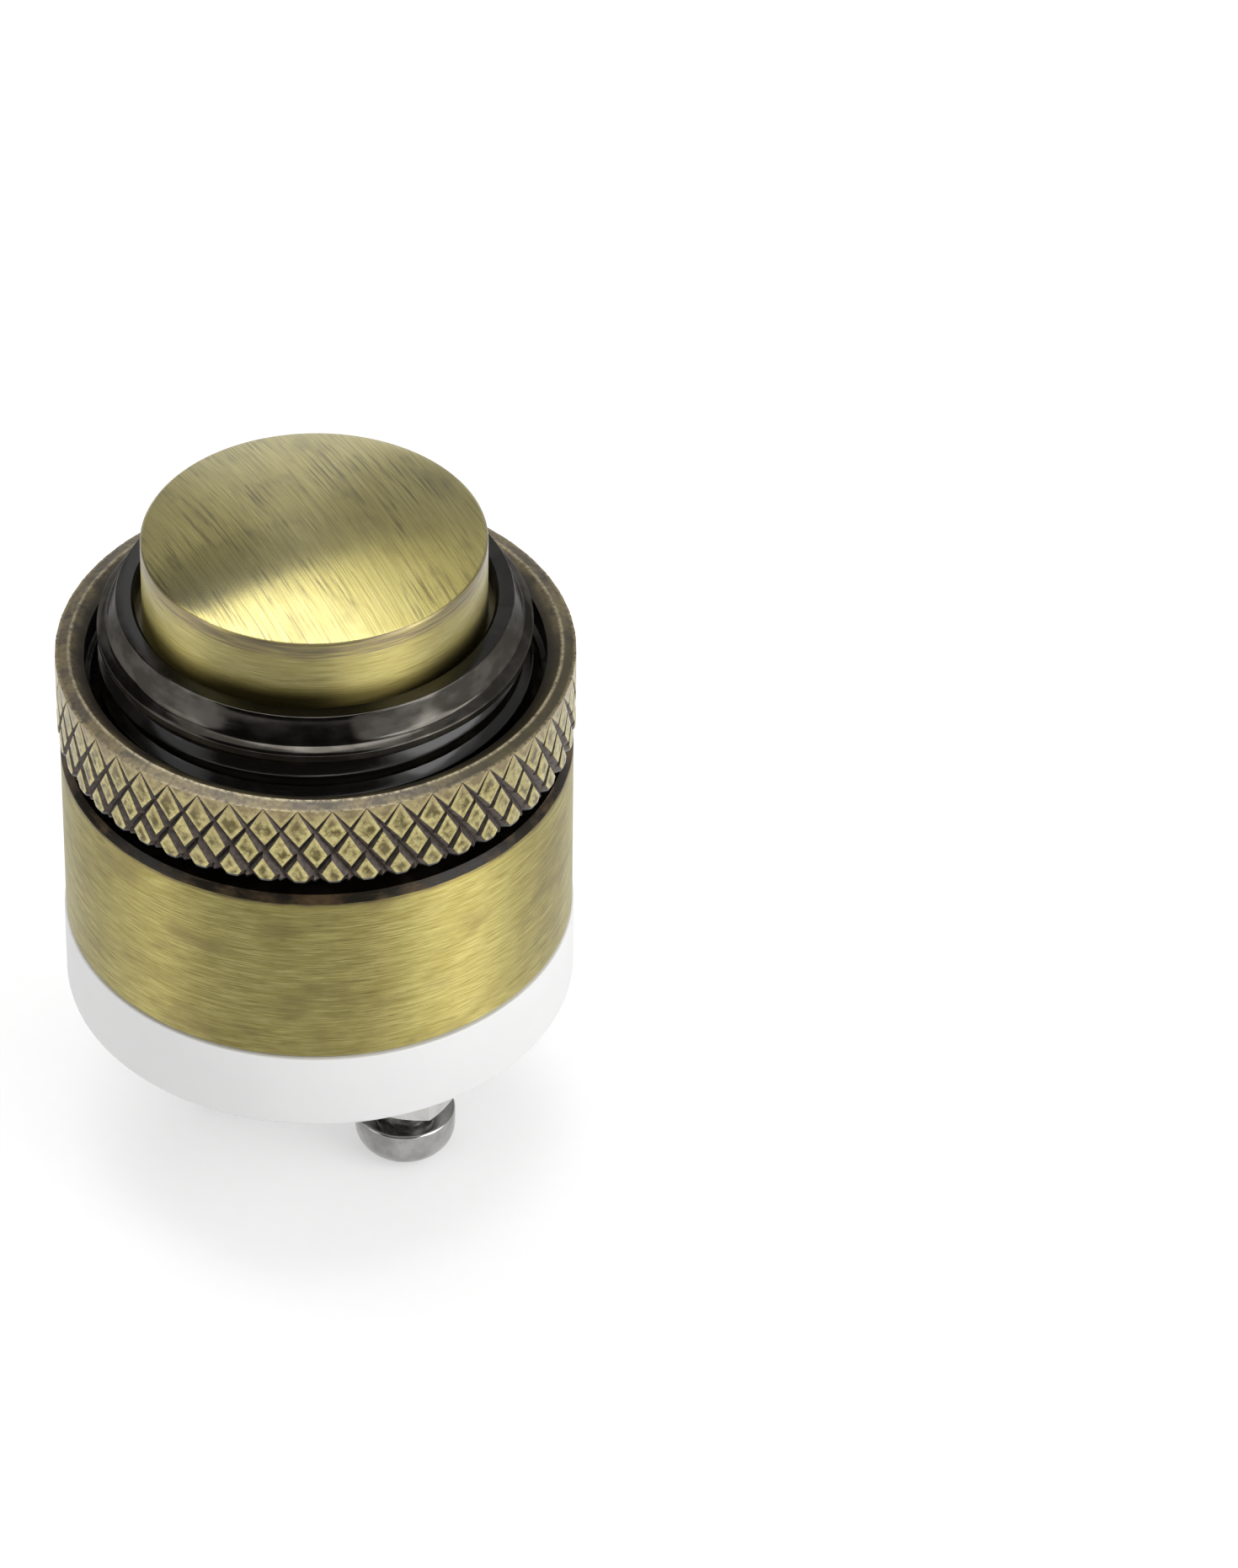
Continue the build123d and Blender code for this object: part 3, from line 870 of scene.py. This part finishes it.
def knurled_brass():
    """Worn brass diamonds with bright rims and stained middles, between dull brown grooves; the cross
    grooves are darker with patina and painted shade.
    """
    land_dark, land_light = (0.36, 0.305, 0.120), (0.55, 0.483, 0.215)
    main_dark, main_light = (0.062, 0.048, 0.041), (0.125, 0.100, 0.086)
    cross_patina_shade_dark, cross_patina_shade_light = (0.020, 0.014, 0.010), (0.055, 0.042, 0.032)
    stain_brown = (0.105, 0.082, 0.027)
    pit_brown = (0.10, 0.078, 0.027)
    dull_brass = (0.30, 0.25, 0.125)
    front_brown = (0.29, 0.225, 0.13)
    item, tree, shader = metal("knurled_brass", 1.0, 0.36, lacquer=0.3)
    mottle = grain(tree, (0.26, 0.26, 0.26), detail=5, roughness=0.65)
    cloud = grain(tree, (2.5, 2.5, 2.5), detail=3)
    blot = grain(tree, (0.55, 0.55, 0.55), detail=4)
    pit = grain(tree, (0.17, 0.17, 0.17), detail=4)
    sunk = painted(tree, "sunk")
    stained = worked(tree, "MULTIPLY", painted(tree, "stain"), spread(tree, blot, 0.34, 0.60))
    near_front = spread(tree, placed(tree, "Z"), bevel_foot - 1.2, bevel_foot - 0.1, 0.0, 0.55)
    land = tinted(tree, spread(tree, mottle, 0.36, 0.62), land_dark, land_light)
    land = tinted(tree, stained, land, stain_brown)
    land = tinted(tree, spread(tree, pit, 0.58, 0.70, 0.0, 0.7), land, pit_brown)
    land = tinted(tree, spread(tree, cloud, 0.4, 0.7, 0.0, 0.35), land, dull_brass)
    land = tinted(tree, near_front, land, front_brown)
    main = tinted(tree, spread(tree, mottle, 0.35, 0.65), main_dark, main_light)
    # Cross grooves: dark patina plus painted shade, for the light falling across the knurl from one side.
    cross = tinted(tree, spread(tree, mottle, 0.35, 0.65), cross_patina_shade_dark, cross_patina_shade_light)
    groove = tinted(tree, spread(tree, sunk, 0.6, 0.9), main, cross)
    colour = tinted(tree, spread(tree, sunk, 0.1, 0.4), land, groove)
    groove_rough = spread(tree, sunk, 0.1, 0.4, 0.30, 0.5)
    rough = worked(tree, "ADD", groove_rough, worked(tree, "MULTIPLY", mottle, 0.12))
    surfaced(tree, shader, colour, rough)
    bumped(tree, shader, mottle, 0.012, 0.5)
    return item


def worn_bevel():
    """Brown patina on the ring's front, speckled with bare brass, rubbed through along the ridge, and
    painted darker on one side as shade.
    """
    patina_dark, patina_light = (0.058, 0.045, 0.030), (0.088, 0.069, 0.047)
    bare_brass = (0.165, 0.130, 0.060)
    side_shade_brown = (0.032, 0.025, 0.006)
    smudge_brown = (0.028, 0.023, 0.014)
    ridge_brass = (0.33, 0.28, 0.175)
    edge_brass = (0.33, 0.27, 0.145)
    countersink_brown = (0.022, 0.018, 0.013)
    item, tree, shader = metal("worn_bevel", 0.5, 0.4, lacquer=0.3)
    mottle = grain(tree, (0.22, 0.22, 0.22), detail=5, roughness=0.65)
    cloud = grain(tree, (1.8, 1.8, 0.8), detail=4)
    smudge = grain(tree, (1.3, 1.3, 0.7), detail=5, roughness=0.6)
    radius = placed(tree, "R")
    colour = tinted(tree, spread(tree, mottle, 0.36, 0.64), patina_dark, patina_light)
    speckle = spread(tree, mottle, 0.36, 0.64, 0.5, 0.9)
    bare = worked(tree, "MULTIPLY", spread(tree, cloud, 0.40, 0.60), speckle)
    colour = tinted(tree, bare, colour, bare_brass)
    # Painted shade: the bevel darkens towards +X, where less light falls on it.
    shaded_side_ramp = spread(tree, placed(tree, "X"), 9.2, 10.9, 0.0, 0.85)
    painted_side_shade = worked(tree, "MULTIPLY", shaded_side_ramp, spread(tree, mottle, 0.30, 0.60, 0.6, 1.0))
    colour = tinted(tree, painted_side_shade, colour, side_shade_brown)
    colour = tinted(tree, spread(tree, smudge, 0.53, 0.66, 0.0, 0.65), colour, smudge_brown)
    inner_flank = spread(tree, radius, ridge_radius - 0.12, ridge_radius - 0.02)
    outer_flank = spread(tree, radius, ridge_radius + 0.16, ridge_radius + 0.02)
    ridge = worked(tree, "MULTIPLY", inner_flank, outer_flank)
    rubbed = worked(tree, "MULTIPLY", ridge, spread(tree, mottle, 0.34, 0.62, 0.15, 1.0))
    colour = tinted(tree, rubbed, colour, ridge_brass)
    near_edge = spread(tree, radius, ring_radius - 0.22, ring_radius - 0.02, 0.0, 0.75)
    worn_edge = worked(tree, "MULTIPLY", near_edge, spread(tree, mottle, 0.32, 0.6))
    colour = tinted(tree, worn_edge, colour, edge_brass)
    in_countersink = spread(tree, radius, ridge_radius - 0.08, countersink_radius + 0.1, 0.0, 0.8)
    colour = tinted(tree, in_countersink, colour, countersink_brown)
    surfaced(tree, shader, colour, spread(tree, mottle, 0.3, 0.7, 0.52, 0.40))
    bumped(tree, shader, mottle, 0.006, 0.4)
    return item


ring_low, ring_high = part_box("ring_nut")
ring_radius = ring_high[0] / MM
ring_rear = ring_low[2] / MM
ring_top = ring_high[2] / MM
ring_bore = 10.13
ring_thread_root = 10.5
bevel_foot = ring_top - 0.18
ridge_radius = ring_radius - 0.67
countersink_radius = 10.75
countersink_floor = ring_top - 0.35
recess_floor = ring_top - 1.55
knurl_foot = ring_rear + 0.25
knurl_runout = bevel_foot + 0.1
knurl_rows = 5
knurl_columns = 48
knurl_angle = radians(32.4)
half_turn = pi / knurl_columns
row = ring_radius * half_turn / tan(knurl_angle)
main_half = 0.295
cross_half = 0.19
groove_slope = 0.98
land_crown = 0.032
land_steps = ((0.045, 0.022), (0.06, 0.010), (0.14, 0.0))
on_land, in_main, in_cross = 0.0, 0.5, 1.0


def groove_half(height, widest):
    """Half the width of a groove at a height. Each groove runs out at the front bevel."""
    below = (knurl_runout - height) / (knurl_runout - knurl_foot)
    return widest * (1 - (1 - min(max(below, 0), 1)) ** 2)


def on_ring(radius, angle, height):
    """Place at a radius, an angle and a height in millimetres."""
    return Vector((radius * cos(angle), radius * sin(angle), height)) * MM


def patch(bm, depth, *points):
    """One face of the knurl, without the points that fall together, marked with how deep it lies."""
    kept = [p for i, p in enumerate(points) if (p - points[i - 1]).length > WELD]
    if len(kept) > 2:
        face = bm.faces.new([bm.verts.new(p) for p in kept])
        face[bm.faces.layers.float["sunk"]] = depth


bm = bmesh.new()
bm.faces.layers.float.new("sunk")
stain_layer = bm.verts.layers.float.new("stain")
top, left, foot, right = (0, 1), (-1, 0), (0, -1), (1, 0)
for k in range(knurl_rows):
    middle = bevel_foot - k * row
    turn = half_turn * ((k + 1) % 2)
    floor_points = {}
    land_points = {}
    slides = {}
    for across, up in (top, left, foot, right):
        height = middle + up * row
        angle = turn + across * half_turn
        main = groove_half(height, main_half)
        cross = groove_half(height, cross_half)
        inward = (main + cross) / 2
        aside = (main - cross) / 2
        shift = -(across * inward + up * aside) / cos(knurl_angle) / ring_radius
        lift = -(up * inward + across * aside) / sin(knurl_angle)
        floor_points[across, up] = on_ring(ring_radius - land_crown - main * groove_slope, angle, height)
        land_points[across, up] = on_ring(ring_radius - land_crown, angle + shift, height + lift)
        # The cross groove is shallower, and its floor leaves the main groove's wall a little way along
        share = (main - cross) / sin(2 * knurl_angle) / (row / cos(knurl_angle))
        slides[across, up] = (share, main - cross)
    patch(bm, on_land, *[land_points[c] for c in (top, left, foot, right)])
    for one, two in ((top, right), (foot, left)):
        patch(bm, in_main, floor_points[one], land_points[one], land_points[two], floor_points[two])
    cross_mark = in_cross if k < knurl_rows - 1 else in_main
    for one, two in ((top, left), (foot, right)):
        ends = []
        for near, far in ((one, two), (two, one)):
            share, rise = slides[near]
            point = floor_points[near].lerp(floor_points[far], share)
            outward = Vector((point.x, point.y, 0)).normalized()
            ends.append(point + outward * rise * groove_slope * MM)
            patch(bm, in_main, floor_points[near], ends[-1], land_points[near])
        patch(bm, cross_mark, ends[0], ends[1], land_points[two], land_points[one])
bmesh.ops.remove_doubles(bm, verts=bm.verts, dist=0.002 * MM)
bmesh.ops.recalc_face_normals(bm, faces=bm.faces)
if sum(f.normal.dot(f.calc_center_median()) for f in bm.faces) < 0:
    bmesh.ops.reverse_faces(bm, faces=bm.faces)
lands = [f for f in bm.faces if f[bm.faces.layers.float["sunk"]] == on_land]
for thickness, depth in land_steps:
    bmesh.ops.inset_individual(bm, faces=lands, thickness=thickness * MM, depth=depth * MM,
                               use_even_offset=True)
for vert in {v for f in lands for v in f.verts}:
    vert[stain_layer] = 1
copies = knurl_columns - 1
bmesh.ops.spin(bm, geom=bm.verts[:] + bm.edges[:] + bm.faces[:], cent=(0, 0, 0), axis=(0, 0, 1),
               angle=2 * pi * copies / knurl_columns, steps=copies, use_duplicate=True)
bmesh.ops.remove_doubles(bm, verts=bm.verts, dist=0.004 * MM)
for height, up in ((bevel_foot, 1), (knurl_foot, -1)):
    bmesh.ops.bisect_plane(bm, geom=bm.verts[:] + bm.edges[:] + bm.faces[:], dist=WELD,
                           plane_co=(0, 0, height * MM), plane_no=(0, 0, up), clear_outer=True)
loose = [v for v in bm.verts if not v.link_faces]
bmesh.ops.delete(bm, geom=loose, context="VERTS")


def rim_at(bm, height):
    """Open edges at a height."""
    rims = [e for e in bm.edges if e.is_boundary]
    return [e for e in rims if all(abs(v.co.z - height * MM) < LEVEL for v in e.verts)]


def extended(bm, edges, height, radius=None, inward=0.0):
    """Grows a rim to a new height, at one radius or a step inward, and returns the new rim."""
    made = bmesh.ops.extrude_edge_only(bm, edges=edges)["geom"]
    for vert in [g for g in made if isinstance(g, bmesh.types.BMVert)]:
        old = hypot(vert.co.x, vert.co.y)
        new = radius * MM if radius else old - inward * MM
        vert.co = (vert.co.x * new / old, vert.co.y * new / old, height * MM)
    return [g for g in made if isinstance(g, bmesh.types.BMEdge)]


bore_profile = (
    (ridge_radius + 0.05, ring_top - 0.02),
    (ridge_radius - 0.01, ring_top),
    (ridge_radius - 0.07, ring_top - 0.03),
    (countersink_radius, countersink_floor),
    (countersink_radius, recess_floor),
    (ring_thread_root, recess_floor - 0.12),
    (ring_thread_root, ring_rear + 0.2),
    (ring_thread_root + 0.15, ring_rear),
)
rear_round_steps = ((0.07, ring_rear + 0.1), (0.16, ring_rear))
inner_rim = rim_at(bm, bevel_foot)
for radius, height in bore_profile:
    inner_rim = extended(bm, inner_rim, height, radius)
outer_rim = rim_at(bm, knurl_foot)
for inward, height in rear_round_steps:
    outer_rim = extended(bm, outer_rim, height, inward=inward)
bmesh.ops.bridge_loops(bm, edges=inner_rim + outer_rim)
bmesh.ops.recalc_face_normals(bm, faces=bm.faces)
ring_thread_start = ring_rear + 0.5
ring_thread_end = recess_floor - 0.5
thread_ridge(bm, ring_thread_root + thread_sink, ring_bore, ring_thread_start, ring_thread_end, thread_pitch)

bore_edge = ridge_radius - 0.05
bevel_margin = 0.005
countersink_margin = 0.02
knurl_side, worn_front, dark_inside = range(3)
for face in bm.faces:
    middle = face.calc_center_median() / MM
    in_bore = hypot(middle.x, middle.y) < bore_edge
    front_from = countersink_floor + countersink_margin if in_bore else bevel_foot + bevel_margin
    if middle.z > front_from:
        face.material_index = worn_front
    elif in_bore or middle.z < knurl_foot - bevel_margin:
        face.material_index = dark_inside
    else:
        face.material_index = knurl_side
ring_finishes = [knurled_brass(), worn_bevel(), dark_patina("ring_patina", 0.32)]
finished(bm, "ring_nut_knurled", ring_finishes, "ring", "knurled_brass", "ring_nut")


# Floor, light and camera: a pale floor just below the terminal screws, soft boxes to the right, to the
# left and overhead, a wide fill in front, dark screens that show only in gloss, and a long lens that
# looks down at the button.
floor_height = cad_box[0][2] / MM - 0.05
floor_half = 1500.0


def pale_floor():
    """Thin white sheet with a faint tooth, which lets some of the white room below it through."""
    dark = (0.93, 0.93, 0.93)
    light = (0.96, 0.96, 0.96)
    sheet_weight = 0.55
    item, tree, shader = metal("white_sheet", 0.0, 0.9, specular=0.1)
    tooth = grain(tree, (0.8, 0.8, 0.8), detail=3)
    tree.links.new(tinted(tree, tooth, dark, light), shader.inputs["Base Color"])
    facing = tree.nodes.new("ShaderNodeNewGeometry")
    from_above = worked(tree, "SUBTRACT", 1.0, facing.outputs["Backfacing"])
    tree.links.new(worked(tree, "MULTIPLY", from_above, sheet_weight), shader.inputs["Alpha"])
    return item


bm = bmesh.new()
bmesh.ops.create_grid(bm, x_segments=1, y_segments=1, size=floor_half * MM)
bmesh.ops.translate(bm, verts=bm.verts, vec=(0, 0, floor_height * MM))
mesh = bpy.data.meshes.new("paper_floor")
bm.to_mesh(mesh)
bm.free()
mesh.materials.append(pale_floor())
floor = bpy.data.objects.new("paper_floor", mesh)
bpy.context.collection.objects.link(floor)

world = bpy.data.worlds.new("white_room")
bpy.context.scene.world = world
world.use_nodes = True
tree = world.node_tree
background = tree.nodes["Background"]
path = tree.nodes.new("ShaderNodeLightPath")
seen = worked(tree, "MAXIMUM", path.outputs["Is Camera Ray"], path.outputs["Is Glossy Ray"])
seen = worked(tree, "MAXIMUM", seen, path.outputs["Is Transmission Ray"])
fill_level = 0.58
tree.links.new(spread(tree, seen, 0.0, 1.0, fill_level, 1.0), background.inputs["Strength"])
background.inputs["Color"].default_value = (1, 1, 1, 1)

camera_turn = radians(27.0)
camera_rise = radians(38.935)
camera_roll = radians(0.79)
camera_distance = 400.0
camera_aim_right = 14.089
camera_aim_down = 2.531
lens_pixels = 10152.0
image_height = 1862
sensor = 36.0


def towards(turn, rise):
    """Direction from the object, by the turn from the camera's side and the rise above the floor."""
    whole = camera_turn + turn
    return Vector((sin(whole) * cos(rise), -cos(whole) * cos(rise), sin(rise)))


def soft_box(name, turn, rise, distance, width, height, brightness, lean=0.0, gloss=True):
    """Area light that faces the object, with the brightness that its face shows in a mirror."""
    light = bpy.data.lights.new(name, "AREA")
    light.shape = "RECTANGLE"
    light.size = width * MM
    light.size_y = height * MM
    light.energy = brightness * pi * width * height * MM**2
    lamp = bpy.data.objects.new(name, light)
    lamp.location = towards(radians(turn), radians(rise)) * distance * MM
    facing = (-lamp.location).to_track_quat("-Z", "Y").to_matrix()
    lamp.rotation_euler = (facing @ Matrix.Rotation(radians(lean), 3, "Z")).to_euler()
    lamp.visible_camera = False
    lamp.visible_glossy = gloss
    bpy.context.collection.objects.link(lamp)


soft_box("right_box", 60, 24, 600, 440, 470, 3.5, 38)
soft_box("left_box", -70, 18, 650, 260, 400, 1.15)
soft_box("top_box", 198, 79.2, 600, 390, 560, 2.9, 22)
soft_box("front_fill", -40, 30, 900, 900, 700, 0.5, gloss=False)


def dark_screen(name, turn, rise, distance, width, height, shade):
    """Cloth that only gloss shows: it keeps the white room off part of the metal, as a flag does."""
    bm = bmesh.new()
    bmesh.ops.create_grid(bm, x_segments=1, y_segments=1, size=0.5)
    bmesh.ops.scale(bm, verts=bm.verts, vec=(width * MM, height * MM, 1))
    place = towards(radians(turn), radians(rise)) * distance * MM
    bmesh.ops.rotate(bm, verts=bm.verts, matrix=place.to_track_quat("Z", "Y").to_matrix())
    bmesh.ops.translate(bm, verts=bm.verts, vec=place)
    mesh = bpy.data.meshes.new(name)
    bm.to_mesh(mesh)
    bm.free()
    item, tree, shader = metal(name, 0.0, 0.9, specular=0.0)
    weave = grain(tree, (4.0, 4.0, 4.0), detail=2)
    tree.links.new(tinted(tree, weave, (shade * 0.8,) * 3, (shade * 1.2,) * 3), shader.inputs["Base Color"])
    mesh.materials.append(item)
    screen = bpy.data.objects.new(name, mesh)
    screen.visible_camera = False
    screen.visible_diffuse = False
    screen.visible_shadow = False
    bpy.context.collection.objects.link(screen)


dark_screen("front_screen", -15, 34, 500, 760, 740, 0.06)
dark_screen("rear_left_screen", 212, 27, 600, 420, 310, 0.44)
dark_screen("rear_high_screen", 212, 48.5, 600, 380, 145, 0.20)
dark_screen("rear_right_screen", 155, 31, 600, 420, 390, 0.42)
dark_screen("right_screen", 122, 34, 600, 560, 560, 0.42)
dark_screen("left_screen", -118, 30, 600, 420, 560, 0.08)

direction = towards(0, camera_rise)
side = Vector((cos(camera_turn), sin(camera_turn), 0))
aim = side * camera_aim_right - direction.cross(side) * camera_aim_down
camera_data = bpy.data.cameras.new("camera")
camera_data.sensor_width = sensor
camera_data.lens = lens_pixels * sensor / image_height
camera = bpy.data.objects.new("camera", camera_data)
camera.location = direction * camera_distance * MM
looking = (aim * MM - camera.location).to_track_quat("-Z", "Y").to_matrix()
camera.rotation_euler = (looking @ Matrix.Rotation(camera_roll, 3, "Z")).to_euler()
bpy.context.collection.objects.link(camera)
bpy.context.scene.camera = camera
bpy.context.scene.view_settings.view_transform = "Standard"
